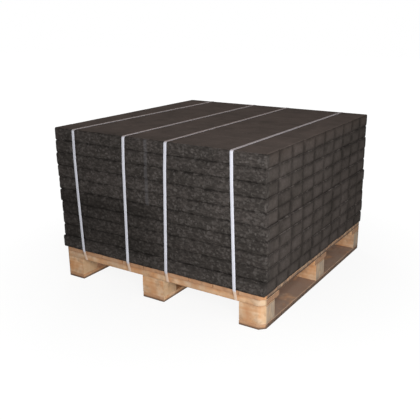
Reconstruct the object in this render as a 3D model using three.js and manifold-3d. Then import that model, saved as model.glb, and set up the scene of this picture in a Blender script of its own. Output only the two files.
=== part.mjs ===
// A pallet of concrete blocks: ten courses of metre-long blocks, strapped down on a square timber pallet.
// Millimetres, +Z up. The origin is on the floor under the middle of the pallet.
// The split long faces of the blocks look along -Y and +Y, and their ends along -X and +X.

import * as THREE from 'three';
import { mergeVertices } from 'three/addons/utils/BufferGeometryUtils.js';
import Module from 'manifold-3d';

const wasm = await Module();
wasm.setup();

// ---- driving dimensions ----

const seat = 0.25; // what rough pieces keep between them where one rests on another

const block = {
  length: 1000, // along X
  width: 100, // along Y
  height: 52,
  arris: 5, // how far a long edge is rounded off
  endFlare: 7, // half the width of the V that two rounded block ends make
  topJoint: 3, // how deep the joints are on the load's upper face
};
const load = {
  rows: 10, // blocks side by side, along Y
  courses: 10, // blocks high
  rowGap: 0.3, // mean gap between two rows
};

// The pallet is made to the load: as wide as a block is long, and as deep as the rows set tight.
const pallet = {
  width: block.length, // along X
  depth: load.rows * block.width, // along Y
  cornerCut: 22, // vertical cut off each corner, so that forks and film don't catch
  easedEdge: 1.5, // sawn edges are broken by this much
  middleLineX: -9, // the middle runner and its feet are nailed a little off centre
  middleRowY: 10, // and so is the middle row of feet
};
const runner = { width: 106, thickness: 20 }; // floor boards, along Y
const foot = { width: runner.width, depth: 85, height: 75 }; // timber blocks between floor boards and deck
const stringer = { depth: 120, thickness: 24 }; // boards along X, on the feet
const deckBoard = { count: 9, gap: 3.5, thickness: 20 }; // boards along Y, under the load

const hewn = { facets: 10, depth: 2.5 }; // coarse facets that splitting leaves along a long face
const endPlay = 2.5; // how far a block may sit back from its course's end

// How each course settled, top course first: its shift along X and Y, and its turn in degrees.
const settled = {
  alongX: [4, 4, 5.5, 4.5, 4.5, 9, 8.5, 8.5, 8, 6],
  alongY: [-4.5, -6.5, -9, -7, -7, -8.5, -5, -4, -3.5, -10.5],
  turn: [0.12, 0.16, 0.18, 0.18, 0.15, 0.45, 0.43, 0.37, 0.37, 0.05],
};

const strapping = { width: 13, thickness: 0.9 };

// Where a strap crosses the load's upper front and back edges, as a share of a block's length from its
// middle. Below, it goes through a fork opening: across is its place there, from 0 at the left to 1.
const straps = [
  { frontTop: -0.384, backTop: -0.357, opening: 'left', across: 0.079 },
  { frontTop: -0.12, backTop: -0.102, opening: 'left', across: 0.807 },
  { frontTop: 0.081, backTop: 0.086, opening: 'right', across: 0.066 },
  { frontTop: 0.365, backTop: 0.372, opening: 'right', across: 0.967 },
];

// ---- levels and sizes that follow ----

const footBase = runner.thickness + seat;
const stringerBase = footBase + foot.height + seat;
const deckBase = stringerBase + stringer.thickness + seat;
const loadBase = deckBase + deckBoard.thickness + seat;
const coursePitch = block.height + seat;
const loadTop = loadBase + (load.courses - 1) * coursePitch + block.height;
const loadDepth = load.rows * block.width + (load.rows - 1) * load.rowGap;
const deckPitch = (pallet.width + deckBoard.gap) / deckBoard.count;
const halfStrap = strapping.width / 2;

const runnerLines = [
  { name: 'left', x: -(pallet.width - foot.width) / 2 },
  { name: 'middle', x: pallet.middleLineX },
  { name: 'right', x: (pallet.width - foot.width) / 2 },
];
const rowNames = ['front', 'middle', 'back'];

const [leftLine, middleLine, rightLine] = runnerLines;
const forkOpenings = {
  left: { from: leftLine.x + foot.width / 2, to: middleLine.x - foot.width / 2 },
  right: { from: middleLine.x + foot.width / 2, to: rightLine.x - foot.width / 2 },
};

// ---- materials ----

const concrete = new THREE.MeshStandardMaterial({ color: 0x4a4440, roughness: 0.92, metalness: 0 });
const sawnPine = new THREE.MeshStandardMaterial({ color: 0xc69a6c, roughness: 0.8, metalness: 0 });
const strapPlastic = new THREE.MeshStandardMaterial({ color: 0xdcdce4, roughness: 0.4, metalness: 0 });

// ---- helpers ----

const part = new THREE.Group();

function addPiece(name, geometry, material, x, y, z) {
  const mesh = new THREE.Mesh(geometry, material);
  mesh.name = name;
  mesh.position.set(x, y, z);
  part.add(mesh);
}

// A small repeatable source of numbers from 0 to 1.
function dice(seed) {
  let state = seed;
  return () => {
    state = (state * 16807) % 2147483647;
    return state / 2147483647;
  };
}

// A plan outline raised to a height, with its top and bottom edges chamfered inwards.
function raise(points, height, chamfer) {
  const geometry = new THREE.ExtrudeGeometry(new THREE.Shape(points), {
    depth: height - 2 * chamfer,
    bevelThickness: chamfer,
    bevelSize: chamfer,
    bevelOffset: -chamfer,
    bevelSegments: 1,
    curveSegments: 1,
  });
  return geometry.translate(0, 0, chamfer);
}

function solidOf(geometry) {
  const bare = geometry.clone();
  bare.deleteAttribute('normal');
  bare.deleteAttribute('uv');
  const merged = mergeVertices(bare, 1e-3);
  return new wasm.Manifold(new wasm.Mesh({
    numProp: 3,
    vertProperties: new Float32Array(merged.attributes.position.array),
    triVerts: new Uint32Array(merged.index.array),
  }));
}

function geometryOf(solid) {
  const mesh = solid.getMesh();
  const geometry = new THREE.BufferGeometry();
  geometry.setAttribute('position', new THREE.BufferAttribute(mesh.vertProperties, 3));
  geometry.setIndex(new THREE.BufferAttribute(mesh.triVerts, 1));
  geometry.computeVertexNormals();
  return geometry;
}

// ---- pallet ----

// A rectangle in plan, less the corners that are cut off the whole pallet.
function palletOutline(x0, x1, y0, y1) {
  const reach = (pallet.width + pallet.depth) / 2 - pallet.cornerCut;
  const corners = [[x0, y0, 1, 1], [x1, y0, -1, 1], [x1, y1, -1, -1], [x0, y1, 1, -1]];
  return corners.flatMap(([x, y, inX, inY]) => {
    const cut = Math.abs(x) + Math.abs(y) - reach;
    if (cut <= 0) return [new THREE.Vector2(x, y)];
    const alongX = new THREE.Vector2(x + inX * cut, y);
    const alongY = new THREE.Vector2(x, y + inY * cut);
    return inX === inY ? [alongY, alongX] : [alongX, alongY];
  });
}

function addTimber(name, x, y, width, depth, base, thickness) {
  const outline = palletOutline(x - width / 2, x + width / 2, y - depth / 2, y + depth / 2);
  addPiece(name, raise(outline, thickness, pallet.easedEdge), sawnPine, 0, 0, base);
}

// The place of each of three rows across the pallet's depth, flush with its edges.
function rowPlaces(depth) {
  const outer = (pallet.depth - depth) / 2;
  return [-outer, pallet.middleRowY, outer];
}

function addPallet() {
  for (const line of runnerLines) {
    addTimber(`runner_${line.name}`, line.x, 0, runner.width, pallet.depth, 0, runner.thickness);
    rowPlaces(foot.depth).forEach((y, row) => {
      const name = `foot_${line.name}_${rowNames[row]}`;
      addTimber(name, line.x, y, foot.width, foot.depth, footBase, foot.height);
    });
  }
  rowPlaces(stringer.depth).forEach((y, row) => {
    const name = `stringer_${rowNames[row]}`;
    addTimber(name, 0, y, pallet.width, stringer.depth, stringerBase, stringer.thickness);
  });
  const boardWidth = deckPitch - deckBoard.gap;
  for (let i = 0; i < deckBoard.count; i += 1) {
    const x = (boardWidth - pallet.width) / 2 + i * deckPitch;
    addTimber(`deck_board_${i + 1}`, x, 0, boardWidth, pallet.depth, deckBase, deckBoard.thickness);
  }
}

// ---- courses of blocks ----

// Where one row of blocks meets the next, from front to back.
function jointPlaces() {
  const pitch = block.width + load.rowGap;
  return Array.from({ length: load.rows - 1 }, (_, row) => (row + 1 - load.rows / 2) * pitch);
}

// A split long face from one end to the other, as a run of flat facets. side is -1 at the front.
function hewnFace(side, roll) {
  const step = block.length / hewn.facets;
  const points = [];
  for (let i = 1; i < hewn.facets; i += 1) {
    const x = side * (block.length / 2 - i * step);
    points.push(new THREE.Vector2(x, side * (loadDepth / 2 - hewn.depth * roll())));
  }
  return points;
}

// The block ends that look to one side, from front to back, with a V between each two.
function blockEnds(side, roll) {
  const joints = jointPlaces();
  const points = [];
  let from = -loadDepth / 2;
  for (let row = 0; row < load.rows; row += 1) {
    const x = side * (block.length / 2 - (row === 0 ? 0 : endPlay * roll()));
    const last = row === load.rows - 1;
    const to = last ? loadDepth / 2 : joints[row] - block.endFlare;
    points.push(new THREE.Vector2(x, from), new THREE.Vector2(x, to));
    if (!last) {
      points.push(new THREE.Vector2(side * (block.length / 2 - block.endFlare), joints[row]));
      from = joints[row] + block.endFlare;
    }
  }
  return points;
}

// A course of blocks as one solid, with the joints between them cut into its ends.
function courseGeometry(roll) {
  const outline = [
    ...hewnFace(-1, roll),
    ...blockEnds(1, roll),
    ...hewnFace(1, roll),
    ...blockEnds(-1, roll).reverse(),
  ];
  return raise(outline, block.height, block.arris);
}

// Turns a shape made along Z so that it runs along X, with its own X along Y and Y along Z.
const lengthwise = new THREE.Matrix4().makeBasis(
  new THREE.Vector3(0, 1, 0),
  new THREE.Vector3(0, 0, 1),
  new THREE.Vector3(1, 0, 0),
);

// The top course also shows the joints on its upper face: a V groove between each two rows.
function cutTopJoints(geometry) {
  const over = 1;
  const groove = new THREE.Shape([
    new THREE.Vector2(0, -block.topJoint),
    new THREE.Vector2(block.topJoint + over, over),
    new THREE.Vector2(-block.topJoint - over, over),
  ]);
  const length = block.length + 2 * over;
  let solid = solidOf(geometry);
  for (const y of jointPlaces()) {
    const cutter = new THREE.ExtrudeGeometry(groove, { depth: length, bevelEnabled: false });
    cutter.applyMatrix4(lengthwise).translate(-length / 2, y, block.height);
    solid = solid.subtract(solidOf(cutter));
  }
  return geometryOf(solid);
}

function addLoad() {
  const roll = dice(11);
  for (let course = 0; course < load.courses; course += 1) {
    const plain = courseGeometry(roll);
    const geometry = course === 0 ? cutTopJoints(plain) : plain;
    geometry.rotateZ(THREE.MathUtils.degToRad(settled.turn[course]));
    const level = load.courses - course;
    const base = loadBase + (level - 1) * coursePitch;
    const name = `course_${String(level).padStart(2, '0')}`;
    addPiece(name, geometry, concrete, settled.alongX[course], settled.alongY[course], base);
  }
}

// ---- straps ----

// How far a course reaches to the front and back where a strap's edges cross it, with the strap at x.
function courseReach(course, x) {
  const slope = Math.tan(THREE.MathUtils.degToRad(settled.turn[course]));
  const middle = settled.alongY[course] + (x - settled.alongX[course]) * slope;
  const half = (loadDepth / 2) * Math.hypot(1, slope) + halfStrap * Math.abs(slope);
  return { front: middle - half, back: middle + half };
}

// A strap's place along X. toBack and toTop go from 0 to 1 across the load.
function strapX({ frontTop, backTop, opening, across }, toBack, toTop) {
  const { from, to } = forkOpenings[opening];
  const bottom = THREE.MathUtils.lerp(from, to, across);
  const top = block.length * THREE.MathUtils.lerp(frontTop, backTop, toBack);
  return THREE.MathUtils.lerp(bottom, top, toTop);
}

function shareOfHeight(z) {
  return (z - stringerBase) / (loadTop - stringerBase);
}

// The side view of what a strap goes round: the courses and the deck under them.
function strappedPoints(strap) {
  const points = [];
  for (let course = 0; course < load.courses; course += 1) {
    const low = loadBase + (load.courses - course - 1) * coursePitch;
    const high = low + block.height;
    const toTop = shareOfHeight(high);
    const { front } = courseReach(course, strapX(strap, 0, toTop));
    const { back } = courseReach(course, strapX(strap, 1, toTop));
    for (const [y, inward] of [[front, block.arris], [back, -block.arris]]) {
      points.push(new THREE.Vector2(y + inward, low), new THREE.Vector2(y, low + block.arris));
      points.push(new THREE.Vector2(y, high - block.arris), new THREE.Vector2(y + inward, high));
    }
  }
  for (const y of [-pallet.depth / 2, pallet.depth / 2]) {
    points.push(new THREE.Vector2(y, stringerBase), new THREE.Vector2(y, loadBase));
  }
  return points;
}

// The tight outline round a set of points, anticlockwise.
function convexOutline(points) {
  const sorted = [...points].sort((a, b) => a.x - b.x || a.y - b.y);
  const turnsLeft = (a, b, c) => (b.x - a.x) * (c.y - a.y) - (b.y - a.y) * (c.x - a.x) > 1e-6;
  const chain = (run) => {
    const kept = [];
    for (const point of run) {
      while (kept.length > 1 && !turnsLeft(kept.at(-2), kept.at(-1), point)) kept.pop();
      kept.push(point);
    }
    return kept.slice(0, -1);
  };
  return [...chain(sorted), ...chain(sorted.reverse())];
}

// The same outline, moved outwards on every side.
function grow(outline, distance) {
  return outline.map((point, i) => {
    const before = outline.at(i - 1);
    const after = outline[(i + 1) % outline.length];
    const into = point.clone().sub(before).normalize();
    const out = after.clone().sub(point).normalize();
    const sum = new THREE.Vector2(into.y + out.y, -into.x - out.x);
    return point.clone().addScaledVector(sum, distance / (1 + into.dot(out)));
  });
}

// A closed band pulled tight round the load and the deck. It leans sideways as it goes round.
function strapGeometry(strap) {
  const tight = convexOutline(strappedPoints(strap));
  const loop = new THREE.Shape(grow(tight, seat + strapping.thickness));
  loop.holes.push(new THREE.Path(grow(tight, seat)));
  const geometry = new THREE.ExtrudeGeometry(loop, { depth: strapping.width, bevelEnabled: false });
  geometry.applyMatrix4(lengthwise).translate(-halfStrap, 0, 0);
  const place = geometry.attributes.position;
  for (let i = 0; i < place.count; i += 1) {
    const toBack = place.getY(i) / loadDepth + 0.5;
    place.setX(i, place.getX(i) + strapX(strap, toBack, shareOfHeight(place.getZ(i))));
  }
  return geometry;
}

addPallet();
addLoad();
straps.forEach((strap, i) => addPiece(`strap_${i + 1}`, strapGeometry(strap), strapPlastic, 0, 0, 0));

export default part;
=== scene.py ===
"""A strapped pallet of charcoal concrete blocks: its finish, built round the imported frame.

Metres, in the part's frame: +Z up, the split long faces towards -Y, block ends towards +X.
"""

import math
import random

import bmesh
import bpy
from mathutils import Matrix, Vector, noise


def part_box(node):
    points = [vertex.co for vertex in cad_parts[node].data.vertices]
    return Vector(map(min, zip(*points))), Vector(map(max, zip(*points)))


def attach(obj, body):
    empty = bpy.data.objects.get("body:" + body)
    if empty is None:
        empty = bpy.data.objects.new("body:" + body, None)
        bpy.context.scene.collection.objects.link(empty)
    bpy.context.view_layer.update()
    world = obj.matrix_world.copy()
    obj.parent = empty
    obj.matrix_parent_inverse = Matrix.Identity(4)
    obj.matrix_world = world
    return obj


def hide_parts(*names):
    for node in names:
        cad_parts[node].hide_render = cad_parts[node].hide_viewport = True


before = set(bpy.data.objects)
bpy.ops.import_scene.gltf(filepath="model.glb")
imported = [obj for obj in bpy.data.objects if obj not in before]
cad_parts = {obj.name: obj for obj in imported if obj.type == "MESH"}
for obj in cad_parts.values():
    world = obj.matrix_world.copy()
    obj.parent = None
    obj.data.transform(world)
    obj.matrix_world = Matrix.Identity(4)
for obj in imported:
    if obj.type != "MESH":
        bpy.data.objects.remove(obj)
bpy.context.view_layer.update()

MM = 0.001
BODY = "root"
SAME_PLACE = 0.01 * MM  # points nearer than this are one

# ---- blocks ----

COURSES = sorted(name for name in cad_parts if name.startswith("course_"))
LOAD_BASE = min(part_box(node)[0].z for node in COURSES)
LOAD_TOP = max(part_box(node)[1].z for node in COURSES)
ROWS = 10  # blocks side by side in a course
BLOCK_WIDTH = 100 * MM
BLOCK_HEIGHT = 52 * MM
END_PLAY = 1.6 * MM  # how far a block may sit from its place, along its length
ARRIS = 3 * MM  # rounding along every edge of a block
PILLOW = 2.5 * MM  # how far an end's rim sits behind its middle
PILLOW_REACH = 20 * MM  # how far from an end its block is drawn in
SPLIT_DEPTH = 4.5 * MM  # relief of a split long face, all behind its nominal plane
SPLIT_REACH = 9 * MM  # how far round the corners a split face's relief goes
ROUGH_REACH = 28 * MM  # how far round the corners its grain shows
SPALL_DEPTH = 4.5 * MM  # how much more is broken away along a split face's upper and lower edges
SPALL_WIDTH = 9 * MM
RELIEF_STEP = 5 * MM  # mesh spacing on a split face
COURSE_JOINT_WEIGHT = 1.5  # how much less far the painted joint shade spreads from a level joint than from an upright one
JOINT_SHADE_RAGGED = 30 * MM  # how raggedly it spreads
WASH_REACH = 60 * MM  # how far down from the load's top most dust is washed
FRONT = -450 * MM  # painted shade and scuff show in front of this alone
SCUFF_LEFT = 16 * MM  # how far left of the middle a pale scuff runs down the front
SCUFF_BOTTOM = 401 * MM
PAINTED_SHADE_TOP = SCUFF_BOTTOM  # of the courses whose fronts are painted in shade
PAINTED_SHADE_BOTTOM = 192 * MM
PAINTED_SHADE_FADE = 40 * MM  # height over which the painted shade fades
PAINTED_SHADE_RAGGED = 50 * MM  # how raggedly it ends
DEEP_PAINTED_SHADE_BOTTOM = PAINTED_SHADE_TOP - BLOCK_HEIGHT  # of the course that is painted in the deepest shade
PAINTED_SHADE_EASING = (-20 * MM, 40 * MM)  # between these, from left to right, the front's painted shade eases

# ---- timber ----

SAW_WAVE = 0.9 * MM  # depth of a sawn face's waves, all into the timber
WAVES_ALONG = 8.0  # in each metre along the grain
WAVES_ACROSS = 30.0
WAVE_START = 9.0  # a timber's waves start anywhere up to this in their pattern
GRAIN_STEP = 16 * MM  # mesh spacing
GRAIN_STRETCH = 0.05  # a fibre's width as a share of its length
RING_SCALE = 0.314  # of a wave texture with one ring in each metre
HEART = (20 * MM, 70 * MM)  # how far across a timber, from its middle, its tree's heart lies
TREE_LENGTH = 30.0  # each timber is cut from anywhere in this length of wood
CLEAN = (0.05, 0.45)  # least and most weathering of a timber
DARKEST_BOARD_TONE = (1.9, 2.4)
PALLET_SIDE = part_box("deck_board_9")[1].x
OUTER_MARGIN = 8 * MM  # faces nearer than this to the pallet's side are outer ones
STRINGER_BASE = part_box("stringer_front")[0].z
DECK_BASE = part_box("deck_board_1")[0].z
NAIL_HEAD = 9 * MM
NAIL_RISE = 0.9 * MM
NAIL_PATTERN = ((-26 * MM, -18 * MM), (24 * MM, -14 * MM), (2 * MM, 21 * MM))  # from a foot's middle

# ---- straps ----

STRAP_WIDTH = 13 * MM
STRAP_THICKNESS = 0.9 * MM
STRAP_BEND = 6.5 * MM  # radius at the load's and deck's corners
WARM_FADE = 8 * MM  # how far below the load's base it has taken all of the timber's warmth

# ---- camera ----

CAMERA_AZIMUTH = math.radians(31.305)
CAMERA_ELEVATION = math.radians(17.882)
CAMERA_AIM = Vector((0.0663, -0.0107, 0.2607))
CAMERA_DISTANCE = 2.743
CAMERA_LENS = 51.78
CAMERA_SHIFT_X = -0.052

# ---- light ----

SKY_LEVEL = 0.23
FLOOR_GLOW = 0.85  # how much of the floor round the object is shown as white, not as lit
FLOOR_FADE = (0.5, 1.6)  # how far from the middle the rest of it turns white too
FLOOR_WHITE = 1.05  # a little over 1, for what is left of the floor's own colour
FLOOR_REACH = 14.0
FLOOR_DROP = 0.2 * MM  # keeps the floor clear of the runners' undersides

# The kinds of node that most trees use.
MATH = "ShaderNodeMath"
MIX = "ShaderNodeMix"
RANGE = "ShaderNodeMapRange"
NOISE = "ShaderNodeTexNoise"
CELLS = "ShaderNodeTexVoronoi"
SPLIT_XYZ = "ShaderNodeSeparateXYZ"
JOIN_XYZ = "ShaderNodeCombineXYZ"
ATTRIBUTE = "ShaderNodeAttribute"
RANDOM = "FunctionNodeRandomValue"


# ---- helpers ----

def linear(hex_colour):
    """An sRGB hex colour as linear RGBA."""
    channels = [int(hex_colour[i:i + 2], 16) / 255 for i in (1, 3, 5)]
    return tuple(c / 12.92 if c <= 0.04045 else ((c + 0.055) / 1.055) ** 2.4 for c in channels) + (1.0,)


def feed(tree, socket, source):
    """Feeds an input with a value, an output, or a node, which stands for its first output in use."""
    if isinstance(source, bpy.types.Node):
        source = next(output for output in source.outputs if output.enabled)
    if isinstance(source, bpy.types.NodeSocket):
        tree.links.new(source, socket)
    else:
        socket.default_value = source


def add(tree, kind, inputs=None, **settings):
    """Adds a node with its settings and links.

    An input is keyed by its index, or by its name among the sockets that the settings leave in use.
    """
    made = tree.nodes.new(kind)
    for name, value in settings.items():
        setattr(made, name, value)
    for key, source in (inputs or {}).items():
        named = [socket for socket in made.inputs if socket.enabled and socket.name == key]
        feed(tree, named[0] if named else made.inputs[key], source)
    return made


def new_material(name):
    material = bpy.data.materials.new(name)
    material.use_nodes = True
    tree = material.node_tree
    return material, tree, tree.nodes["Principled BSDF"]


def new_object(name, mesh):
    made = bpy.data.objects.new(name, mesh)
    bpy.context.scene.collection.objects.link(made)
    return made


def finish_piece(piece, slot, *nodes):
    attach(piece, BODY)
    if nodes:
        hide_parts(*nodes)
    return piece


def node_tree(name, inputs):
    """A Geometry Nodes group with named inputs. Returns the group and its inputs' sockets."""
    tree = bpy.data.node_groups.new(name, "GeometryNodeTree")
    for label, kind in inputs.items():
        tree.interface.new_socket(label, in_out="INPUT", socket_type="NodeSocket" + kind)
    tree.interface.new_socket("Geometry", in_out="OUTPUT", socket_type="NodeSocketGeometry")
    return tree, add(tree, "NodeGroupInput").outputs


def close_tree(tree, geometry, material):
    """Ends a group: instances made real, and the material set."""
    real = add(tree, "GeometryNodeRealizeInstances", {"Geometry": geometry})
    finished = add(tree, "GeometryNodeSetMaterial", {"Geometry": real, "Material": material})
    add(tree, "NodeGroupOutput", {"Geometry": finished})


def grow(name, tree, values, mesh=None):
    """Runs a group on a mesh and returns the result as a plain mesh object."""
    made = new_object(name, mesh or bpy.data.meshes.new(name))
    modifier = made.modifiers.new("nodes", "NODES")
    modifier.node_group = tree
    for item in tree.interface.items_tree:
        if item.name in values:
            modifier[item.identifier] = values[item.name]
    evaluated = made.evaluated_get(bpy.context.evaluated_depsgraph_get())
    result = bpy.data.meshes.new_from_object(evaluated)
    made.modifiers.clear()
    made.data = result
    return made


# ---- materials ----

def pressed_charcoal_concrete():
    """Pressed concrete, pigmented charcoal all through: matt, grainy and slightly uneven in tone.

    Split faces show broken stones, lighter and darker than the paste. Upper faces hold brown dust,
    and pale grit on the ledges also paints the highlight on the blocks' upper edges. Painted shade
    darkens the joints and the rims of the blocks' ends, and the middle courses' fronts, most of all
    on the left.
    """
    material, tree, shader = new_material("pressed_charcoal_concrete")
    place = add(tree, "ShaderNodeTexCoord").outputs["Object"]
    spot = add(tree, SPLIT_XYZ, {0: place}).outputs
    normal = add(tree, "ShaderNodeNewGeometry").outputs["Normal"]
    up = add(tree, SPLIT_XYZ, {0: normal}).outputs["Z"]
    split = add(tree, ATTRIBUTE, attribute_name="split").outputs["Fac"]
    joint_gap = add(tree, ATTRIBUTE, attribute_name="joint_gap").outputs["Fac"]
    own_tone = add(tree, ATTRIBUTE, attribute_name="block_tone").outputs["Fac"]

    # The pigment is mixed a little unevenly, within a block and from block to block.
    cloud = add(tree, NOISE, {"Vector": place, "Scale": 1 / (90 * MM), "Detail": 4.0})
    tone = add(tree, MATH, {0: own_tone, 1: 0.22, 2: cloud}, operation="MULTIPLY_ADD")
    tone_share = add(tree, RANGE, {"Value": tone, "From Min": 0.36, "From Max": 0.86})
    paste = add(tree, MIX, {
        "Factor": tone_share, "A": linear("#44403d"), "B": linear("#57514e"),
    }, data_type="RGBA")

    # Coarse sand mottles it in flecks drawn out along the block, most of all where it's split. They
    # are two or three times as wide as real ones, which are too fine to show.
    drawn_out = add(tree, "ShaderNodeMapping", {"Vector": place, "Scale": (0.45, 1.0, 1.0)})
    sand = add(tree, NOISE, {
        "Vector": drawn_out, "Scale": 1 / (8.5 * MM), "Detail": 2.0, "Roughness": 0.65,
    })
    sand_here = add(tree, RANGE, {"Value": sand, "From Min": 0.33, "From Max": 0.57})
    sand_most = add(tree, RANGE, {"Value": split, "To Min": 0.2, "To Max": 0.6})
    sand_share = add(tree, MATH, {0: sand_here, 1: sand_most}, operation="MULTIPLY")

    # Stones in the paste are about 8 mm across. One in four is paler than the paste, by little or much.
    stones = add(tree, CELLS, {"Vector": place, "Scale": 1 / (8 * MM)})
    kind = add(tree, "ShaderNodeSeparateColor", {0: stones.outputs["Color"]})
    pale_here = add(tree, RANGE, {"Value": kind, "From Min": 0.72, "From Max": 1.0})
    pale_most = add(tree, RANGE, {"Value": split, "To Min": 0.1, "To Max": 0.33})
    pale_share = add(tree, MATH, {0: pale_here, 1: pale_most}, operation="MULTIPLY")

    # Brown dust lies on the load's top in broad patches, less where its front edge is rubbed. On the
    # narrow ledges between the courses there are only crumbs of paler grit, which also paint in the
    # highlight that the blocks' upper edges catch.
    crumbs = add(tree, NOISE, {
        "Vector": place, "Scale": 1 / (30 * MM), "Detail": 4.0, "Roughness": 0.65,
    })
    facing_up = add(tree, RANGE, {"Value": up, "From Min": 0.35, "From Max": 0.9})
    patches = add(tree, NOISE, {
        "Vector": place, "Scale": 1 / (110 * MM), "Detail": 5.0, "Roughness": 0.6,
    })
    held = add(tree, RANGE, {
        "Value": patches, "From Min": 0.3, "From Max": 0.65, "To Min": 0.5, "To Max": 0.95,
    })
    rubbed_off = add(tree, RANGE, {"Value": split, "To Min": 1.0, "To Max": 0.75})
    on_top = add(tree, MATH, {0: held, 1: rubbed_off}, operation="MULTIPLY")
    ledge_grit_and_highlight = add(tree, RANGE, {"Value": crumbs, "From Min": 0.5, "From Max": 0.65, "To Max": 0.6})
    topmost = add(tree, MATH, {0: spot["Z"], 1: LOAD_TOP - 2 * ARRIS}, operation="GREATER_THAN")
    lying = add(tree, MIX, {"Factor": topmost, "A": ledge_grit_and_highlight, "B": on_top}, data_type="FLOAT")
    dust_share = add(tree, MATH, {0: facing_up, 1: lying}, operation="MULTIPLY")
    dust_and_ledge_highlight = add(tree, MIX, {
        "Factor": topmost, "A": linear("#8a827c"), "B": linear("#70645e"),
    }, data_type="RGBA")

    # Rain has washed a little of it down over the blocks' ends, most of all near the top.
    side_share = add(tree, MATH, {0: 1.0, 1: facing_up}, operation="SUBTRACT")
    washed_most = add(tree, RANGE, {
        "Value": spot["Z"], "From Min": LOAD_TOP - WASH_REACH, "From Max": LOAD_TOP,
        "To Min": 0.1, "To Max": 0.3,
    })
    on_end = add(tree, RANGE, {"Value": split, "From Max": 0.4, "To Min": 1.0, "To Max": 0.0})
    washed_here = add(tree, MATH, {0: washed_most, 1: on_end}, operation="MULTIPLY")
    washed_share = add(tree, MATH, {0: washed_here, 1: side_share}, operation="MULTIPLY")

    # Painted shade darkens the middle courses' fronts, mostly on the left, and most deeply the
    # uppermost of them.
    in_front = add(tree, MATH, {0: spot["Y"], 1: FRONT}, operation="LESS_THAN")
    level = add(tree, MATH, {0: crumbs, 1: PAINTED_SHADE_RAGGED, 2: spot["Z"]}, operation="MULTIPLY_ADD")
    over_bottom = add(tree, RANGE, {
        "Value": level, "From Min": PAINTED_SHADE_BOTTOM, "From Max": PAINTED_SHADE_BOTTOM + PAINTED_SHADE_FADE,
    })
    under_top = add(tree, RANGE, {
        "Value": level, "From Min": PAINTED_SHADE_TOP, "From Max": PAINTED_SHADE_TOP + PAINTED_SHADE_FADE,
        "To Min": 1.0, "To Max": 0.0,
    })
    painted_shade_height = add(tree, MATH, {0: over_bottom, 1: under_top}, operation="MULTIPLY")
    painted_shade_here = add(tree, MATH, {0: painted_shade_height, 1: in_front}, operation="MULTIPLY")
    rightward = {"Value": spot["X"], "From Min": PAINTED_SHADE_EASING[0], "From Max": PAINTED_SHADE_EASING[1]}
    painted_shade = add(tree, RANGE, {**rightward, "To Min": 0.33, "To Max": 0.18})
    deep_painted_shade = add(tree, RANGE, {**rightward, "To Min": 0.52, "To Max": 0.0})
    deep_painted_shade_height = add(tree, RANGE, {
        "Value": level, "From Min": DEEP_PAINTED_SHADE_BOTTOM, "From Max": DEEP_PAINTED_SHADE_BOTTOM + PAINTED_SHADE_FADE,
    })
    painted_shade_most = add(tree, MIX, {"Factor": deep_painted_shade_height, "A": painted_shade, "B": deep_painted_shade}, data_type="FLOAT")
    painted_shade_share = add(tree, MATH, {0: painted_shade_most, 1: painted_shade_here}, operation="MULTIPLY")

    # Painted shade fades raggedly away from the joints, and further on a block's end, where it also
    # paints the shading of the pillowed rim, than on a split face. In the joints themselves the painted
    # shade is nearly black.
    ragged = add(tree, MATH, {0: crumbs, 1: JOINT_SHADE_RAGGED, 2: joint_gap}, operation="MULTIPLY_ADD")
    joint_shade_most = add(tree, RANGE, {"Value": split, "To Min": 0.5, "To Max": 0.2})
    near = add(tree, RANGE, {
        "Value": ragged, "From Min": 10 * MM, "From Max": 42 * MM, "To Min": 1.0, "To Max": 0.0,
    }, interpolation_type="SMOOTHSTEP")
    joint_shade_here = add(tree, MATH, {0: near, 1: side_share}, operation="MULTIPLY")
    joint_shade_share = add(tree, MATH, {0: joint_shade_here, 1: joint_shade_most}, operation="MULTIPLY")
    in_joint = add(tree, RANGE, {
        "Value": ragged, "From Min": 14 * MM, "From Max": 22 * MM, "To Min": 1.0, "To Max": 0.0,
    })
    joint_line_shade_here = add(tree, MATH, {0: in_joint, 1: side_share}, operation="MULTIPLY")
    joint_line_shade_most = add(tree, RANGE, {"Value": split, "To Min": 0.25, "To Max": 0.48})
    joint_line_shade_share = add(tree, MATH, {0: joint_line_shade_here, 1: joint_line_shade_most}, operation="MULTIPLY")

    # A strap's width of pale scuff runs down the front of the upper five courses.
    from_line = add(tree, MATH, {0: spot["X"], 1: SCUFF_LEFT}, operation="ADD")
    off_line = add(tree, MATH, {0: from_line}, operation="ABSOLUTE")
    rubbed = add(tree, RANGE, {
        "Value": off_line, "From Min": 5 * MM, "From Max": 10 * MM, "To Min": 0.22, "To Max": 0.0,
    })
    high_up = add(tree, MATH, {0: spot["Z"], 1: SCUFF_BOTTOM}, operation="GREATER_THAN")
    scuff_height = add(tree, MATH, {0: high_up, 1: in_front}, operation="MULTIPLY")
    scuff_place = add(tree, MATH, {0: scuff_height, 1: side_share}, operation="MULTIPLY")
    scuff_share = add(tree, MATH, {0: rubbed, 1: scuff_place}, operation="MULTIPLY")

    # Each of these colours lies over the ones before it.
    colour = paste
    for share, over in (
        (sand_share, linear("#262321")),
        (pale_share, linear("#736e6b")),
        (dust_share, dust_and_ledge_highlight),
        (washed_share, linear("#594a42")),
        # The next three are painted shade: on the middle courses' fronts, round the joints and in them.
        (painted_shade_share, linear("#1b1917")),
        (joint_shade_share, linear("#1b1917")),
        (joint_line_shade_share, linear("#0f0e0d")),
        (scuff_share, linear("#77767a")),
    ):
        colour = add(tree, MIX, {"Factor": share, "A": colour, "B": over}, data_type="RGBA")
    feed(tree, shader.inputs["Base Color"], colour)
    shader.inputs["Roughness"].default_value = 0.95
    shader.inputs["Specular IOR Level"].default_value = 0.0

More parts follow.
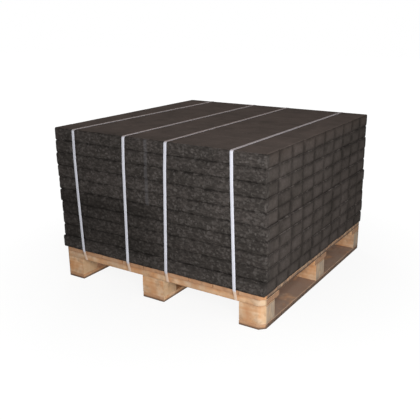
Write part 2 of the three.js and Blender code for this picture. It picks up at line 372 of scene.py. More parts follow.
    grit = add(tree, NOISE, {"Vector": place, "Scale": 1 / (4 * MM), "Detail": 3.0})
    stone_edges = add(tree, MATH, {0: stones, 1: split}, operation="MULTIPLY")
    height = add(tree, MATH, {0: grit, 1: stone_edges}, operation="ADD")
    bump = add(tree, "ShaderNodeBump", {"Height": height, "Strength": 0.5, "Distance": 1.4 * MM})
    feed(tree, shader.inputs["Normal"], bump)
    return material


def sawn_pine(name, grain, end_colour, side_colour):
    """Rough sawn, untreated pine, with its grain along one axis: long fibres there, rings at its ends.

    Rings and fibres are drawn two or three times as wide as real ones, which are too fine to show.
    Rain has greyed the pallet's outer sides, and painted shade darkens its joints, the lower part of
    the deck's outer edges, and its lowest edges.
    """
    material, tree, shader = new_material(name)
    place = add(tree, "ShaderNodeTexCoord").outputs["Object"]
    spot = add(tree, SPLIT_XYZ, {0: place}).outputs
    normal = add(tree, "ShaderNodeNewGeometry").outputs["Normal"]
    facing = add(tree, SPLIT_XYZ, {0: normal}).outputs
    heart = add(tree, ATTRIBUTE, attribute_name="heart").outputs["Vector"]
    own_place = add(tree, "ShaderNodeVectorMath", {0: place, 1: heart}, operation="ADD")
    along = add(tree, "ShaderNodeMapping", {
        "Vector": own_place, "Scale": [GRAIN_STRETCH if axis == grain else 1.0 for axis in "XYZ"],
    })

    rings = add(tree, "ShaderNodeTexWave", {
        "Vector": along, "Scale": RING_SCALE / (16 * MM),
        "Distortion": 6.0, "Detail": 2.0, "Detail Scale": 0.8,
    }, wave_type="RINGS", rings_direction=grain).outputs["Fac"]
    late_wood = add(tree, RANGE, {"Value": rings, "To Min": 0.3, "To Max": 0.7})
    wood = add(tree, MIX, {
        "Factor": late_wood, "A": linear("#d8a678"), "B": linear("#eac7a2"),
    }, data_type="RGBA")
    fibres = add(tree, NOISE, {
        "Vector": along, "Scale": 1 / (7 * MM), "Detail": 3.0, "Roughness": 0.6,
    })
    fibre_share = add(tree, RANGE, {"Value": fibres, "From Min": 0.4, "From Max": 0.7, "To Max": 0.2})

    # Resin draws it orange in places, and sapwood is pale.
    resin = add(tree, NOISE, {"Vector": own_place, "Scale": 1 / (45 * MM), "Detail": 2.0})
    resin_share = add(tree, RANGE, {"Value": resin, "From Min": 0.42, "From Max": 0.66, "To Max": 0.6})
    sap_share = add(tree, RANGE, {"Value": resin, "From Min": 0.45, "From Max": 0.3, "To Max": 0.6})

    # End grain weathers to another colour than a board's faces.
    along_grain = add(tree, MATH, {0: facing[grain]}, operation="ABSOLUTE")
    end_grain = add(tree, RANGE, {"Value": along_grain, "From Min": 0.6, "From Max": 0.8})
    end_share = add(tree, MATH, {0: end_grain, 1: 0.7}, operation="MULTIPLY")

    # Weathering comes in broad patches, and differs from board to board. Upper faces take the most of
    # it and ends the least.
    patches = add(tree, NOISE, {
        "Vector": own_place, "Scale": 1 / (120 * MM), "Detail": 4.0, "Roughness": 0.6,
    })
    spread = add(tree, RANGE, {"Value": patches, "From Min": 0.35, "From Max": 0.75, "To Min": 0.2})
    board_tone = add(tree, ATTRIBUTE, attribute_name="board_tone").outputs["Fac"]
    age = add(tree, MATH, {0: spread, 1: board_tone}, operation="MULTIPLY")
    age_limit = add(tree, RANGE, {
        "Value": facing["Z"], "From Min": 0.4, "From Max": 0.8, "To Min": 0.35, "To Max": 0.9,
    })
    most_age = add(tree, MATH, {0: age, 1: age_limit}, operation="MINIMUM")
    kept = add(tree, RANGE, {"Value": end_grain, "To Min": 1.0, "To Max": 0.12})
    age_share = add(tree, MATH, {0: most_age, 1: kept}, operation="MULTIPLY")
    dirt = add(tree, NOISE, {
        "Vector": own_place, "Scale": 1 / (35 * MM), "Detail": 4.0, "Roughness": 0.65,
    })
    dirt_share = add(tree, RANGE, {"Value": dirt, "From Min": 0.52, "From Max": 0.76, "To Max": 0.6})

    # Knots are dark and round, about 150 mm apart inside the wood, and few of them show in a face.
    knots = add(tree, CELLS, {"Vector": own_place, "Scale": 1 / (150 * MM)})
    knot_share = add(tree, RANGE, {
        "Value": knots, "From Min": 0.05, "From Max": 0.1, "To Min": 0.7, "To Max": 0.0,
    })

    # The pallet's outer sides are out in the rain, and streaked with grey.
    to_side = add(tree, MATH, {0: facing["X"]}, operation="ABSOLUTE")
    side_face = add(tree, RANGE, {"Value": to_side, "From Min": 0.8, "From Max": 0.95})
    from_middle = add(tree, MATH, {0: spot["X"]}, operation="ABSOLUTE")
    outermost = add(tree, MATH, {
        0: from_middle, 1: PALLET_SIDE - OUTER_MARGIN,
    }, operation="GREATER_THAN")
    outer_side = add(tree, MATH, {0: side_face, 1: outermost}, operation="MULTIPLY")
    upright = add(tree, "ShaderNodeMapping", {"Vector": own_place, "Scale": (1.0, 1.0, 0.15)})
    streaks = add(tree, NOISE, {"Vector": upright, "Scale": 1 / (9 * MM), "Detail": 3.0})
    streak_share = add(tree, RANGE, {
        "Value": streaks, "From Min": 0.35, "From Max": 0.6, "To Min": 0.4, "To Max": 0.95,
    })
    grey_share = add(tree, MATH, {0: outer_side, 1: streak_share}, operation="MULTIPLY")

    # Under the deck's drip the stringers' ends are stained brown.
    over_feet = add(tree, MATH, {0: spot["Z"], 1: STRINGER_BASE}, operation="GREATER_THAN")
    under_deck = add(tree, MATH, {0: spot["Z"], 1: DECK_BASE}, operation="LESS_THAN")
    on_stringer = add(tree, MATH, {0: over_feet, 1: under_deck}, operation="MULTIPLY")
    stringer_side = add(tree, MATH, {0: on_stringer, 1: outer_side}, operation="MULTIPLY")
    brown_share = add(tree, MATH, {0: stringer_side, 1: 0.6}, operation="MULTIPLY")

    # Painted shade darkens the joints under the stringers and the deck, most of all on the outer sides,
    # where it paints the shadow under the deck's edge.
    painted_joint_shade = 0.0
    for joint in (STRINGER_BASE, DECK_BASE):
        above = add(tree, MATH, {0: spot["Z"], 1: joint}, operation="SUBTRACT")
        off_joint = add(tree, MATH, {0: above}, operation="ABSOLUTE")
        here = add(tree, RANGE, {
            "Value": off_joint, "From Min": 2 * MM, "From Max": 5 * MM, "To Min": 1.0, "To Max": 0.0,
        })
        painted_joint_shade = add(tree, MATH, {0: here, 1: painted_joint_shade}, operation="MAXIMUM")
    most_painted_joint_shade = add(tree, RANGE, {"Value": outer_side, "To Min": 0.15, "To Max": 0.85})
    painted_joint_shade_share = add(tree, MATH, {0: painted_joint_shade, 1: most_painted_joint_shade}, operation="MULTIPLY")

    # Painted shade darkens the lower part of the deck's outer edges.
    above_deck_base = add(tree, MATH, {0: spot["Z"], 1: DECK_BASE}, operation="SUBTRACT")
    deck_edge_shade = add(tree, RANGE, {
        "Value": above_deck_base, "From Min": 5 * MM, "From Max": 11 * MM, "To Min": 0.8, "To Max": 0.0,
    })
    on_deck = add(tree, MATH, {0: above_deck_base, 1: 0.0}, operation="GREATER_THAN")
    outer_deck = add(tree, MATH, {0: on_deck, 1: outer_side}, operation="MULTIPLY")
    painted_shade_share = add(tree, MATH, {0: deck_edge_shade, 1: outer_deck}, operation="MULTIPLY")

    # Painted contact shadow darkens the lowest few millimetres, and on the outer sides the darkening
    # reaches higher.
    contact_shadow_reach = add(tree, RANGE, {"Value": outer_side, "To Min": 13 * MM, "To Max": 34 * MM})
    contact_shadow_share = add(tree, RANGE, {
        "Value": spot["Z"], "From Min": 4 * MM, "From Max": contact_shadow_reach, "To Min": 0.85, "To Max": 0.0,
    })

    # Each of these colours lies over the ones before it.
    colour = wood
    for share, over in (
        (fibre_share, "#b9875c"),
        (resin_share, "#cb8548"),
        (sap_share, "#e8ceb0"),
        (end_share, end_colour),
        (age_share, "#8c7a6f"),
        (dirt_share, "#8a6a52"),
        (knot_share, "#6b4226"),
        (grey_share, side_colour),
        (brown_share, "#93633f"),
        # The last three are painted shade: in the joints, on the deck's outer edges, and contact shadow
        # along the bottom.
        (painted_joint_shade_share, "#4f3a2e"),
        (painted_shade_share, "#43342b"),
        (contact_shadow_share, "#43342b"),
    ):
        colour = add(tree, MIX, {"Factor": share, "A": colour, "B": linear(over)}, data_type="RGBA")
    feed(tree, shader.inputs["Base Color"], colour)
    shader.inputs["Roughness"].default_value = 0.8
    shader.inputs["Specular IOR Level"].default_value = 0.2

    bump = add(tree, "ShaderNodeBump", {"Height": fibres, "Strength": 0.4, "Distance": 1.0 * MM})
    feed(tree, shader.inputs["Normal"], bump)
    return material


def embossed_plastic_strapping():
    """Extruded plastic strapping, rolled with a check pattern: satin and cool white.

    It's dusty on top, least of all on the right. Where it crosses timber, the wood shows warm through
    the thin band.
    """
    material, tree, shader = new_material("embossed_plastic_strapping")
    place = add(tree, "ShaderNodeTexCoord").outputs["Object"]
    grime = add(tree, NOISE, {"Vector": place, "Scale": 1 / (90 * MM)})
    plastic = add(tree, MIX, {
        "Factor": grime, "A": linear("#e2e3ec"), "B": linear("#cfcfda"),
    }, data_type="RGBA")
    spot = add(tree, SPLIT_XYZ, {0: place}).outputs
    over_wood = add(tree, RANGE, {
        "Value": spot["Z"], "From Min": LOAD_BASE - WARM_FADE, "From Max": LOAD_BASE,
        "To Min": 1.0, "To Max": 0.0,
    })
    warmed = add(tree, MIX, {
        "Factor": over_wood, "A": plastic, "B": linear("#e4c9b3"),
    }, data_type="RGBA")
    normal = add(tree, "ShaderNodeNewGeometry").outputs["Normal"]
    up = add(tree, SPLIT_XYZ, {0: normal}).outputs["Z"]
    dustiest = add(tree, RANGE, {
        "Value": spot["X"], "From Min": 100 * MM, "From Max": 300 * MM, "To Min": 0.85, "To Max": 0.68,
    })
    dust_share = add(tree, RANGE, {
        "Value": up, "From Min": 0.5, "From Max": 0.95, "To Max": dustiest,
    })
    dusty = add(tree, MIX, {
        "Factor": dust_share, "A": warmed, "B": linear("#968075"),
    }, data_type="RGBA")
    feed(tree, shader.inputs["Base Color"], dusty)
    roughness = add(tree, RANGE, {"Value": dust_share, "To Min": 0.5, "To Max": 1.0})
    feed(tree, shader.inputs["Roughness"], roughness)
    shader.inputs["IOR"].default_value = 1.49
    shader.inputs["Specular IOR Level"].default_value = 0.3

    checks = add(tree, "ShaderNodeTexChecker", {"Vector": place, "Scale": 1 / (2.5 * MM)})
    bump = add(tree, "ShaderNodeBump", {
        "Height": checks.outputs["Fac"], "Strength": 0.3, "Distance": 0.2 * MM,
    })
    feed(tree, shader.inputs["Normal"], bump)
    return material


def stamped_steel_nail():
    """Drawn steel wire with a stamped head, dulled by a little rust."""
    material, tree, shader = new_material("stamped_steel_nail")
    place = add(tree, "ShaderNodeTexCoord").outputs["Object"]
    speckle = add(tree, NOISE, {"Vector": place, "Scale": 1 / (4 * MM)})
    rust = add(tree, RANGE, {"Value": speckle, "From Min": 0.35, "From Max": 0.65})
    rusted = add(tree, MIX, {
        "Factor": rust, "A": linear("#8d8a86"), "B": linear("#6d5140"),
    }, data_type="RGBA")
    feed(tree, shader.inputs["Base Color"], rusted)
    shader.inputs["Metallic"].default_value = 0.8
    shader.inputs["Roughness"].default_value = 0.5
    return material


# ---- blocks ----

def stations(size, near_edge, spacing):
    """Places along one side of a block, from its middle: close together at both edges, even between."""
    reach = size / 2 - near_edge[-1]
    count = max(1, round(2 * reach / spacing))
    even = [reach * (2 * i / count - 1) for i in range(count + 1)]
    low = [-size / 2 + step for step in near_edge[:-1]]
    return low + even + [-place for place in reversed(low)]


def plan_outline(xs, ys):
    """The points round a block in plan, anticlockwise."""
    front = [(x, ys[0]) for x in xs[:-1]]
    right = [(xs[-1], y) for y in ys[:-1]]
    back = [(x, ys[-1]) for x in reversed(xs[1:])]
    left = [(xs[0], y) for y in reversed(ys[1:])]
    return front + right + back + left


def clamp(value, limit):
    return max(-limit, min(limit, value))


def rounded(point, half):
    """A point of a box's surface, moved onto the rounding along its edges."""
    core = Vector([clamp(c, h - ARRIS) for c, h in zip(point, half)])
    return core + (point - core).normalized() * ARRIS


def pillowed(point, half):
    """Draws the rim of a block's end back, so that the end bulges like a pillow."""
    near_end = max(0.0, 1 - (half.x - abs(point.x)) / PILLOW_REACH)
    bulge = (1 - abs(point.y / half.y) ** 4) * (1 - abs(point.z / half.z) ** 4)
    back = PILLOW * (1 - bulge) * near_end ** 2
    return Vector((point.x - math.copysign(back, point.x), point.y, point.z))


def block_blank(name, length, long_step):
    """One block about its own middle: rings of points round its sides, with a flat cap at each end."""
    half = Vector((length, BLOCK_WIDTH, BLOCK_HEIGHT)) / 2
    xs = stations(length, (0, ARRIS / 3, ARRIS, 10 * MM, PILLOW_REACH), long_step)
    ys = stations(BLOCK_WIDTH, (0, ARRIS / 3, ARRIS, 9 * MM), 9 * MM)
    zs = stations(BLOCK_HEIGHT, (0, ARRIS / 3, ARRIS), RELIEF_STEP)
    outline = plan_outline(xs, ys)

    def inset_ring(inset, z):
        return [Vector((clamp(x, half.x - inset), clamp(y, half.y - inset), z)) for x, y in outline]

    insets = (ARRIS, ARRIS / 3)
    rings = [inset_ring(inset, -half.z) for inset in insets]
    rings += [inset_ring(0, z) for z in zs]
    rings += [inset_ring(inset, half.z) for inset in reversed(insets)]

    bm = bmesh.new()
    made = [[bm.verts.new(pillowed(rounded(p, half), half)) for p in ring] for ring in rings]
    count = len(outline)
    for low, high in zip(made, made[1:]):
        for i in range(count):
            j = (i + 1) % count
            bm.faces.new((low[i], low[j], high[j], high[i]))
    bmesh.ops.remove_doubles(bm, verts=bm.verts, dist=SAME_PLACE)
    for side in (-1, 1):
        cap = [v for v in bm.verts if abs(v.co.z - side * half.z) < SAME_PLACE]
        bm.faces.new(sorted(cap, key=lambda v: math.atan2(v.co.y * half.x, v.co.x * half.y)))
    bmesh.ops.recalc_face_normals(bm, faces=bm.faces)
    for face in bm.faces:
        face.smooth = len(face.verts) < 5
    mesh = bpy.data.meshes.new(name)
    bm.to_mesh(mesh)
    bm.free()
    return new_object(name, mesh)


def rows_of_blocks(tree, given, last):
    """Blocks side by side along Y, each a little out of place and with a tone of its own."""
    span = add(tree, MATH, {0: last, 1: given["Row Pitch"]}, operation="MULTIPLY")
    first_y = add(tree, MATH, {0: span, 1: -0.5}, operation="MULTIPLY")
    line = add(tree, "GeometryNodeMeshLine", {
        "Count": given["Rows"],
        "Start Location": add(tree, JOIN_XYZ, {"Y": first_y}),
        "Offset": add(tree, JOIN_XYZ, {"Y": given["Row Pitch"]}),
    }, mode="OFFSET")

    # The first and last rows are facing blocks, with a fine mesh for their split faces.
    row = add(tree, "GeometryNodeInputIndex")
    is_first = add(tree, "FunctionNodeCompare", {"A": row, "B": 0.5}, operation="LESS_THAN")
    before_last = add(tree, MATH, {0: last, 1: 0.5}, operation="SUBTRACT")
    is_last = add(tree, "FunctionNodeCompare", {"A": row, "B": before_last}, operation="GREATER_THAN")
    outer = add(tree, "FunctionNodeBooleanMath", {0: is_first, 1: is_last}, operation="OR")
    inner = add(tree, "FunctionNodeBooleanMath", {0: outer}, operation="NOT")
    joined = add(tree, "GeometryNodeJoinGeometry")
    for block, chosen in (("Inner Block", inner), ("Facing Block", outer)):
        shape = add(tree, "GeometryNodeObjectInfo", {"Object": given[block]}).outputs["Geometry"]
        blocks = add(tree, "GeometryNodeInstanceOnPoints", {
            "Points": line, "Selection": chosen, "Instance": shape,
        })
        feed(tree, joined.inputs[0], blocks)

    most_slide = add(tree, JOIN_XYZ, {"X": given["End Play"]})
    least_slide = add(tree, "ShaderNodeVectorMath", {0: most_slide, "Scale": -1.0}, operation="SCALE")
    slide = add(tree, RANDOM, {
        "Min": least_slide, "Max": most_slide, "Seed": given["Seed"],
    }, data_type="FLOAT_VECTOR")
    placed = add(tree, "GeometryNodeTranslateInstances", {"Instances": joined, "Translation": slide})
    tone = add(tree, RANDOM, {"Seed": given["Seed"]}, data_type="FLOAT")
    toned = add(tree, "GeometryNodeStoreNamedAttribute", {
        "Geometry": placed, "Name": "block_tone", "Value": tone,
    }, data_type="FLOAT", domain="INSTANCE")
    return add(tree, "GeometryNodeRealizeInstances", {"Geometry": toned})


def gap_to_joint(tree, given, last, spot, from_level, half_height):
    """How far a point is from the nearest joint: with the next row, or with the course above or below.

    Courses close up under their own weight, so the distance to their joints counts for more.
    """
    half_rows = add(tree, MATH, {0: given["Rows"], 1: 0.5}, operation="MULTIPLY")
    from_middle = add(tree, MATH, {0: spot["Y"], 1: given["Row Pitch"]}, operation="DIVIDE")
    row = add(tree, MATH, {0: from_middle, 1: half_rows}, operation="ADD")
    nearest = add(tree, MATH, {0: row}, operation="ROUND")
    joint = add(tree, "ShaderNodeClamp", {"Value": nearest, "Min": 1.0, "Max": last})
    off_joint = add(tree, MATH, {0: row, 1: joint}, operation="SUBTRACT")
    rows_off = add(tree, MATH, {0: off_joint}, operation="ABSOLUTE")
    beside = add(tree, MATH, {0: rows_off, 1: given["Row Pitch"]}, operation="MULTIPLY")
    above = add(tree, MATH, {0: half_height, 1: from_level}, operation="SUBTRACT")
    above_felt = add(tree, MATH, {0: above, 1: COURSE_JOINT_WEIGHT}, operation="MULTIPLY")
    return add(tree, MATH, {0: beside, 1: above_felt}, operation="MINIMUM")


def broken_depth(tree, given, position, from_level, half_height):
    """How much a split face has lost at a point, going round the stones: waves, facets and grit."""
    own_tone = add(tree, "GeometryNodeInputNamedAttribute", {"Name": "block_tone"}, data_type="FLOAT")
    own_field = add(tree, MATH, {0: own_tone, 1: given["Seed"]}, operation="ADD")
    relief = 0.0
    for kind, dimensions, size, share in (
        (NOISE, "noise_dimensions", 60 * MM, 0.8),
        (CELLS, "voronoi_dimensions", 22 * MM, 0.45),
        (NOISE, "noise_dimensions", 11 * MM, 0.35),
    ):
        field = add(tree, kind, {
            "Vector": position, "W": own_field, "Scale": 1 / size,
        }, **{dimensions: "4D"})
        relief = add(tree, MATH, {0: field, 1: share, 2: relief}, operation="MULTIPLY_ADD")
    rough = add(tree, RANGE, {"Value": relief, "From Min": 0.4, "From Max": 1.15})
    broken = add(tree, MATH, {0: rough, 1: given["Split Depth"]}, operation="MULTIPLY")

    # More is spalled off along the upper and lower edges, unevenly along the block.
    spall_start = add(tree, MATH, {0: half_height, 1: given["Spall Width"]}, operation="SUBTRACT")
    near_edge = add(tree, RANGE, {
        "Value": from_level, "From Min": spall_start, "From Max": half_height,
    }, interpolation_type="SMOOTHSTEP")
    uneven = add(tree, NOISE, {
        "Vector": position, "W": own_field, "Scale": 1 / (28 * MM),
    }, noise_dimensions="4D")
    uneven_share = add(tree, RANGE, {
        "Value": uneven, "From Min": 0.3, "From Max": 0.7, "To Min": 0.35,
    })
    spalled = add(tree, MATH, {0: near_edge, 1: given["Spall Depth"]}, operation="MULTIPLY")
    return add(tree, MATH, {0: spalled, 1: uneven_share, 2: broken}, operation="MULTIPLY_ADD")


def block_course_tree():
    """A course of blocks side by side, with the outward long faces split.

    It's made round the course's own middle, with the rows along Y, then turned and moved into place.
    """
    tree, given = node_tree("block_course", {
        "Facing Block": "Object", "Inner Block": "Object", "Rows": "Int", "Row Pitch": "Float",
        "Depth": "Float", "Height": "Float", "End Play": "Float", "Split Depth": "Float",
        "Split Reach": "Float", "Rough Reach": "Float", "Spall Depth": "Float", "Spall Width": "Float",
        "Turn": "Vector", "Place": "Vector", "Seed": "Int", "Material": "Material",
    })
    last = add(tree, MATH, {0: given["Rows"], 1: 1.0}, operation="SUBTRACT")
    blocks = rows_of_blocks(tree, given, last)
    position = add(tree, "GeometryNodeInputPosition")
    spot = add(tree, SPLIT_XYZ, {0: position}).outputs
    from_level = add(tree, MATH, {0: spot["Z"]}, operation="ABSOLUTE")
    half_height = add(tree, MATH, {0: given["Height"], 1: 0.5}, operation="MULTIPLY")

    # How near a point is to the front or back plane: 1 on the plane, 0 beyond the splitting's reach.
    half_depth = add(tree, MATH, {0: given["Depth"], 1: 0.5}, operation="MULTIPLY")
    from_middle = add(tree, MATH, {0: spot["Y"]}, operation="ABSOLUTE")
    moved_start = add(tree, MATH, {0: half_depth, 1: given["Split Reach"]}, operation="SUBTRACT")
    moved = add(tree, RANGE, {"Value": from_middle, "From Min": moved_start, "From Max": half_depth})
    rough_start = add(tree, MATH, {0: half_depth, 1: given["Rough Reach"]}, operation="SUBTRACT")
    split = add(tree, RANGE, {"Value": from_middle, "From Min": rough_start, "From Max": half_depth})

    marked = blocks
    for name, field in (
        ("split", split),
        ("joint_gap", gap_to_joint(tree, given, last, spot, from_level, half_height)),
    ):
        marked = add(tree, "GeometryNodeStoreNamedAttribute", {
            "Geometry": marked, "Name": name, "Value": field,
        }, data_type="FLOAT", domain="POINT")

    depth = broken_depth(tree, given, position, from_level, half_height)
    outward = add(tree, MATH, {0: spot["Y"]}, operation="SIGN")
    inward = add(tree, MATH, {0: outward, 1: -1.0}, operation="MULTIPLY")
    moved_inward = add(tree, MATH, {0: moved, 1: inward}, operation="MULTIPLY")
    move = add(tree, MATH, {0: depth, 1: moved_inward}, operation="MULTIPLY")
    rough_faced = add(tree, "GeometryNodeSetPosition", {
        "Geometry": marked, "Offset": add(tree, JOIN_XYZ, {"Y": move}),
    })
    settled = add(tree, "GeometryNodeTransform", {
        "Geometry": rough_faced, "Translation": given["Place"], "Rotation": given["Turn"],
    })
    close_tree(tree, settled, given["Material"])
    return tree


def course_frame(node):
    """A course's middle, its turn about Z, its length and its depth, from the corners of its solid."""
    points = [v.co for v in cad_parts[node].data.vertices]
    left = min(points, key=lambda p: p.x + p.y)
    right = max(points, key=lambda p: p.x - p.y)
    along = Vector((right.x - left.x, right.y - left.y)).normalized()
    across = Vector((-along.y, along.x))
    length = (right - left).xy.dot(along)
    depth = max((p - left).xy.dot(across) for p in points)
    low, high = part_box(node)
    middle = left.xy + along * length / 2 + across * depth / 2
    place = Vector((middle.x, middle.y, (low.z + high.z) / 2))
    return place, math.atan2(along.y, along.x), length, depth


def build_blocks(material):
    tree = block_course_tree()
    length = course_frame(COURSES[0])[2] - 2 * END_PLAY
    facing = block_blank("facing_block", length, RELIEF_STEP)
    inner = block_blank("inner_block", length, length)
    for seed, node in enumerate(COURSES, 1):
        place, turn, _, depth = course_frame(node)
        course = grow(node.replace("course", "blocks"), tree, {
            "Facing Block": facing,
            "Inner Block": inner,
            "Rows": ROWS,
            "Row Pitch": (depth - BLOCK_WIDTH) / (ROWS - 1),
            "Depth": depth,
            "Height": BLOCK_HEIGHT,
            "End Play": END_PLAY,
            "Split Depth": SPLIT_DEPTH,
            "Split Reach": SPLIT_REACH,
            "Rough Reach": ROUGH_REACH,
            "Spall Depth": SPALL_DEPTH,
            "Spall Width": SPALL_WIDTH,
            "Turn": (0.0, 0.0, turn),
            "Place": place,
            "Seed": seed,
            "Material": material,
        })
        finish_piece(course, "concrete", node)
    for blank in (facing, inner):
        bpy.data.objects.remove(blank)


# ---- pallet ----

def cut_across(bm, axis, low, high, spacing):
    """Cuts a solid into slices, so that its faces can carry a wave."""
    count = max(1, round((high - low) / spacing))
    normal = Vector((0, 0, 0))
    normal[axis] = 1
    for i in range(1, count):
        everything = bm.verts[:] + bm.edges[:] + bm.faces[:]
        point = normal * (low + (high - low) * i / count)
        bmesh.ops.bisect_plane(bm, geom=everything, plane_co=point, plane_no=normal)


def store_constant(mesh, name, kind, field, numbers):
    """Gives every point of a mesh the same value."""
    layer = mesh.attributes.new(name, kind, "POINT")
    layer.data.foreach_set(field, list(numbers) * len(mesh.vertices))


def sawn_timber(node, grain, material, weathering):
    """A sawn board or foot: the frame's solid, with faces that wander a little into the wood."""
    chance = random.Random(node)
    low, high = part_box(node)
    bm = bmesh.new()
    bm.from_mesh(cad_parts[node].data)
    bmesh.ops.remove_doubles(bm, verts=bm.verts, dist=SAME_PLACE)
    bmesh.ops.dissolve_limit(bm, angle_limit=math.radians(1), verts=bm.verts, edges=bm.edges)
    for axis in (0, 1):
        cut_across(bm, axis, low[axis], high[axis], GRAIN_STEP)
    if high.z - low.z > 2 * GRAIN_STEP:
        cut_across(bm, 2, low.z, high.z, GRAIN_STEP)
    bm.normal_update()
    own = Vector([chance.uniform(0, WAVE_START) for _ in "XYZ"])
    waves = Vector([WAVES_ALONG if axis == grain else WAVES_ACROSS for axis in "XYZ"])
    # Levels stay, because timbers lie tight on each other. Only the underside on the ground is free.
    for v in bm.verts:
        wave = noise.noise(v.co * waves + own)
        free_z = v.normal.z if v.co.z < NAIL_RISE / 2 else 0.0
        v.co -= Vector((v.normal.x, v.normal.y, free_z)) * SAW_WAVE * (0.5 + 0.5 * wave)
    for face in bm.faces:
        face.smooth = True
    mesh = bpy.data.meshes.new(node)
    bm.to_mesh(mesh)
    bm.free()
    mesh.set_sharp_from_angle(angle=math.radians(30))
    mesh.materials.append(material)
    # The tree's heart lies off the timber's middle, across its grain. Along it, each has its own start.
    middle = (low + high) / 2
    heart = Vector([0.0 if axis == grain else chance.uniform(*HEART) for axis in "XYZ"])
    slide = Vector([chance.uniform(0, TREE_LENGTH) if axis == grain else 0.0 for axis in "XYZ"])
    across = Vector([0.0 if axis == grain else m for axis, m in zip("XYZ", middle)])
    store_constant(mesh, "heart", "FLOAT_VECTOR", "vector", heart + slide - across)
    store_constant(mesh, "board_tone", "FLOAT", "value", [chance.uniform(*weathering)])
    return finish_piece(new_object("sawn_" + node, mesh), "timber", node)


def nail_heads_tree():
    """A nail's flat, round head at every point of a mesh."""
    tree, given = node_tree("nail_heads", {
        "Places": "Geometry", "Head": "Float", "Rise": "Float", "Seed": "Int", "Material": "Material",
    })
    radius = add(tree, MATH, {0: given["Head"], 1: 0.5}, operation="MULTIPLY")
    head = add(tree, "GeometryNodeMeshCylinder", {
        "Vertices": 14, "Radius": radius, "Depth": given["Rise"],
    })
    size = add(tree, RANDOM, {"Min": 0.85, "Max": 1.0, "Seed": given["Seed"]}, data_type="FLOAT")
    nails = add(tree, "GeometryNodeInstanceOnPoints", {
        "Points": given["Places"],
        "Instance": head,
        "Scale": add(tree, JOIN_XYZ, {"X": size, "Y": size, "Z": 1.0}),
    })
    close_tree(tree, nails, given["Material"])
    return tree


def build_nails(line, tree, material):
    """Three nails up through the runner into each of its feet."""
    runner_low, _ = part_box(f"runner_{line}")
    places = []
    for row in ("front", "middle", "back"):
        low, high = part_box(f"foot_{line}_{row}")
        middle = (low + high) / 2
        for x, y in NAIL_PATTERN:
            places.append((middle.x + x, middle.y + y, runner_low.z + NAIL_RISE / 2))
    mesh = bpy.data.meshes.new("nail_places")
    mesh.from_pydata(places, [], [])
    nails = grow(f"runner_nails_{line}", tree, {
        "Head": NAIL_HEAD, "Rise": NAIL_RISE, "Seed": len(line), "Material": material,
    }, mesh)
    finish_piece(nails, "timber")


def build_pallet():
    along_x = sawn_pine("sawn_pine_along_x", "X", "#ccb08e", "#988b7d")
    along_y = sawn_pine("sawn_pine_along_y", "Y", "#b2886a", "#6a5a50")
    nail_tree = nail_heads_tree()
    nail_steel = stamped_steel_nail()
    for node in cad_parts:
        if node.startswith(("stringer", "foot")):
            sawn_timber(node, "X", along_x, CLEAN)
        elif node == "runner_right":
            # This floor board is drawn darker than the others, its upper face most of all.
            sawn_timber(node, "Y", along_y, DARKEST_BOARD_TONE)
        elif node.startswith(("runner", "deck_board")):
            sawn_timber(node, "Y", along_y, CLEAN)
    for line in ("left", "middle", "right"):
        build_nails(line, nail_tree, nail_steel)


# ---- straps ----

def tight_outline(points):
    """The convex outline round (y, z) points, anticlockwise."""
    ordered = sorted(set(points))

    def chain(run):
        kept = []
        for p in run:
            while len(kept) > 1:
                (ay, az), (by, bz) = kept[-2:]
                if (by - ay) * (p[1] - az) - (bz - az) * (p[0] - ay) > 1e-9:
                    break
                kept.pop()
            kept.append(p)
        return kept[:-1]

    return chain(ordered) + chain(ordered[::-1])


def moved_out(outline, distance):
    """An outline moved outwards on every side."""
    result = []
    for i, here in enumerate(outline):
        here = Vector(here)
        before = (here - Vector(outline[i - 1])).normalized()
        after = (Vector(outline[(i + 1) % len(outline)]) - here).normalized()
        turn = Vector((before.y + after.y, -before.x - after.x))
        result.append(here + turn * distance / (1 + before.dot(after)))
    return result


def strap_line(node):
    """A strap's closed middle line: its solid's outline, drawn in by half its thickness."""
    points = [v.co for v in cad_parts[node].data.vertices]
    outline = tight_outline([(round(p.y, 6), round(p.z, 6)) for p in points])
    line = []
    for (y, z), inner in zip(outline, moved_out(outline, -STRAP_THICKNESS / 2)):
        xs = [p.x for p in points if math.hypot(p.y - y, p.z - z) < SAME_PLACE]
        line.append(((min(xs) + max(xs)) / 2, inner.x, inner.y))
    return line


def strap_band_tree():
    """A flat band that follows a closed line, with its width along X."""
    tree, given = node_tree("strap_band", {
        "Line": "Geometry", "Width": "Float", "Thickness": "Float", "Bend": "Float",
        "Material": "Material",
    })
    line = add(tree, "GeometryNodeMeshToCurve", {"Mesh": given["Line"]})
    bent = add(tree, "GeometryNodeFilletCurve", {
        "Curve": line, "Count": 5, "Radius": given["Bend"], "Limit Radius": True,
    }, mode="POLY")
    level = add(tree, "GeometryNodeSetCurveNormal", {
        "Curve": bent, "Normal": (1.0, 0.0, 0.0),
    }, mode="FREE")
    section = add(tree, "GeometryNodeCurvePrimitiveQuadrilateral", {
        "Width": given["Width"], "Height": given["Thickness"],
    })
    edge = add(tree, MATH, {0: given["Thickness"], 1: 0.3}, operation="MULTIPLY")
    eased = add(tree, "GeometryNodeFilletCurve", {
        "Curve": section, "Count": 2, "Radius": edge, "Limit Radius": True,
    }, mode="POLY")
    band = add(tree, "GeometryNodeCurveToMesh", {"Curve": level, "Profile Curve": eased})
    close_tree(tree, band, given["Material"])
    return tree


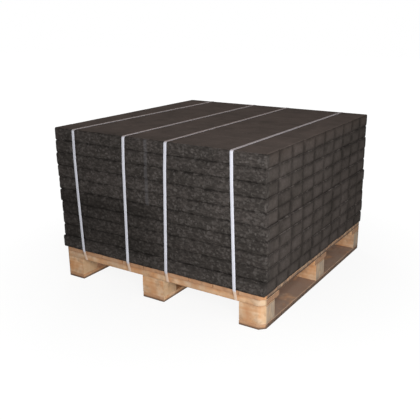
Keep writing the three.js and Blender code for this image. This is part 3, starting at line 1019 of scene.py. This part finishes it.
def build_straps(material):
    tree = strap_band_tree()
    for node in sorted(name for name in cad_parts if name.startswith("strap_")):
        line = strap_line(node)
        mesh = bpy.data.meshes.new("strap_line")
        mesh.from_pydata(line, [(i, (i + 1) % len(line)) for i in range(len(line))], [])
        band = grow(node.replace("strap", "strap_band"), tree, {
            "Width": STRAP_WIDTH, "Thickness": STRAP_THICKNESS, "Bend": STRAP_BEND,
            "Material": material,
        }, mesh)
        finish_piece(band, "strap", node)


# ---- studio ----

def build_camera():
    data = bpy.data.cameras.new("camera")
    data.lens = CAMERA_LENS
    data.shift_x = CAMERA_SHIFT_X
    camera = new_object("camera", data)
    back = Vector((
        math.sin(CAMERA_AZIMUTH) * math.cos(CAMERA_ELEVATION),
        -math.cos(CAMERA_AZIMUTH) * math.cos(CAMERA_ELEVATION),
        math.sin(CAMERA_ELEVATION),
    ))
    camera.location = CAMERA_AIM + back * CAMERA_DISTANCE
    camera.rotation_euler = (-back).to_track_quat("-Z", "Y").to_euler()
    bpy.context.scene.camera = camera


def build_lamp(name, place, aim, size, watts):
    data = bpy.data.lights.new(name, "AREA")
    data.shape = "DISK"
    data.size = size
    data.energy = watts
    lamp = new_object(name, data)
    lamp.location = place
    lamp.rotation_euler = (Vector(aim) - Vector(place)).to_track_quat("-Z", "Y").to_euler()


def seen_directly(tree):
    """1 for rays that show the background itself: straight, mirrored or through glass."""
    rays = add(tree, "ShaderNodeLightPath").outputs
    shown = rays["Is Camera Ray"]
    for kind in ("Is Glossy Ray", "Is Transmission Ray"):
        shown = add(tree, MATH, {0: shown, 1: rays[kind]}, operation="MAXIMUM")
    return shown


def build_world():
    """An even, dim sky. Seen directly, it's white."""
    world = bpy.data.worlds.new("studio")
    world.use_nodes = True
    bpy.context.scene.world = world
    tree = world.node_tree
    background = tree.nodes["Background"]
    background.inputs["Color"].default_value = (1.0, 1.0, 1.0, 1.0)
    strength = add(tree, RANGE, {"Value": seen_directly(tree), "To Min": SKY_LEVEL})
    feed(tree, background.inputs["Strength"], strength)


def build_floor():
    """A pale floor that keeps a faint shadow under the object, and fades to white all round."""
    square = ((-1, -1), (1, -1), (1, 1), (-1, 1))
    corners = [(x * FLOOR_REACH, y * FLOOR_REACH, -FLOOR_DROP) for x, y in square]
    mesh = bpy.data.meshes.new("floor")
    mesh.from_pydata(corners, [], [(0, 1, 2, 3)])
    floor = new_object("floor", mesh)
    material, tree, shader = new_material("pale_studio_floor")
    shader.inputs["Base Color"].default_value = linear("#d2d2d0")
    shader.inputs["Roughness"].default_value = 1.0
    shader.inputs["Specular IOR Level"].default_value = 0.0
    white = add(tree, "ShaderNodeEmission", {"Color": (1.0, 1.0, 1.0, 1.0), "Strength": FLOOR_WHITE})
    place = add(tree, "ShaderNodeTexCoord").outputs["Object"]
    away = add(tree, "ShaderNodeVectorMath", {0: place}, operation="LENGTH")
    glow = add(tree, RANGE, {
        "Value": away, "From Min": FLOOR_FADE[0], "From Max": FLOOR_FADE[1], "To Min": FLOOR_GLOW,
    })
    share = add(tree, MATH, {0: seen_directly(tree), 1: glow}, operation="MULTIPLY")
    shown = add(tree, "ShaderNodeMixShader", {0: share, 1: shader, 2: white})
    feed(tree, tree.nodes["Material Output"].inputs["Surface"], shown)
    mesh.materials.append(material)


def build_studio():
    """Sky, floor and three softboxes, the main one on the right, so that light falls off to the left."""
    build_world()
    build_floor()
    build_lamp("key_softbox", place=(1.5, -1.85, 1.05), aim=(0.4, -0.3, 0.3), size=1.1, watts=37)
    build_lamp("side_softbox", place=(2.9, -0.7, 0.75), aim=(0.4, 0.1, 0.25), size=1.4, watts=14)
    build_lamp("back_softbox", place=(-2.4, 2.2, 1.6), aim=(-0.3, 0.3, 0.3), size=1.4, watts=33)


bpy.context.scene.view_settings.view_transform = "Standard"
build_camera()
build_studio()
build_blocks(pressed_charcoal_concrete())
build_pallet()
build_straps(embossed_plastic_strapping())
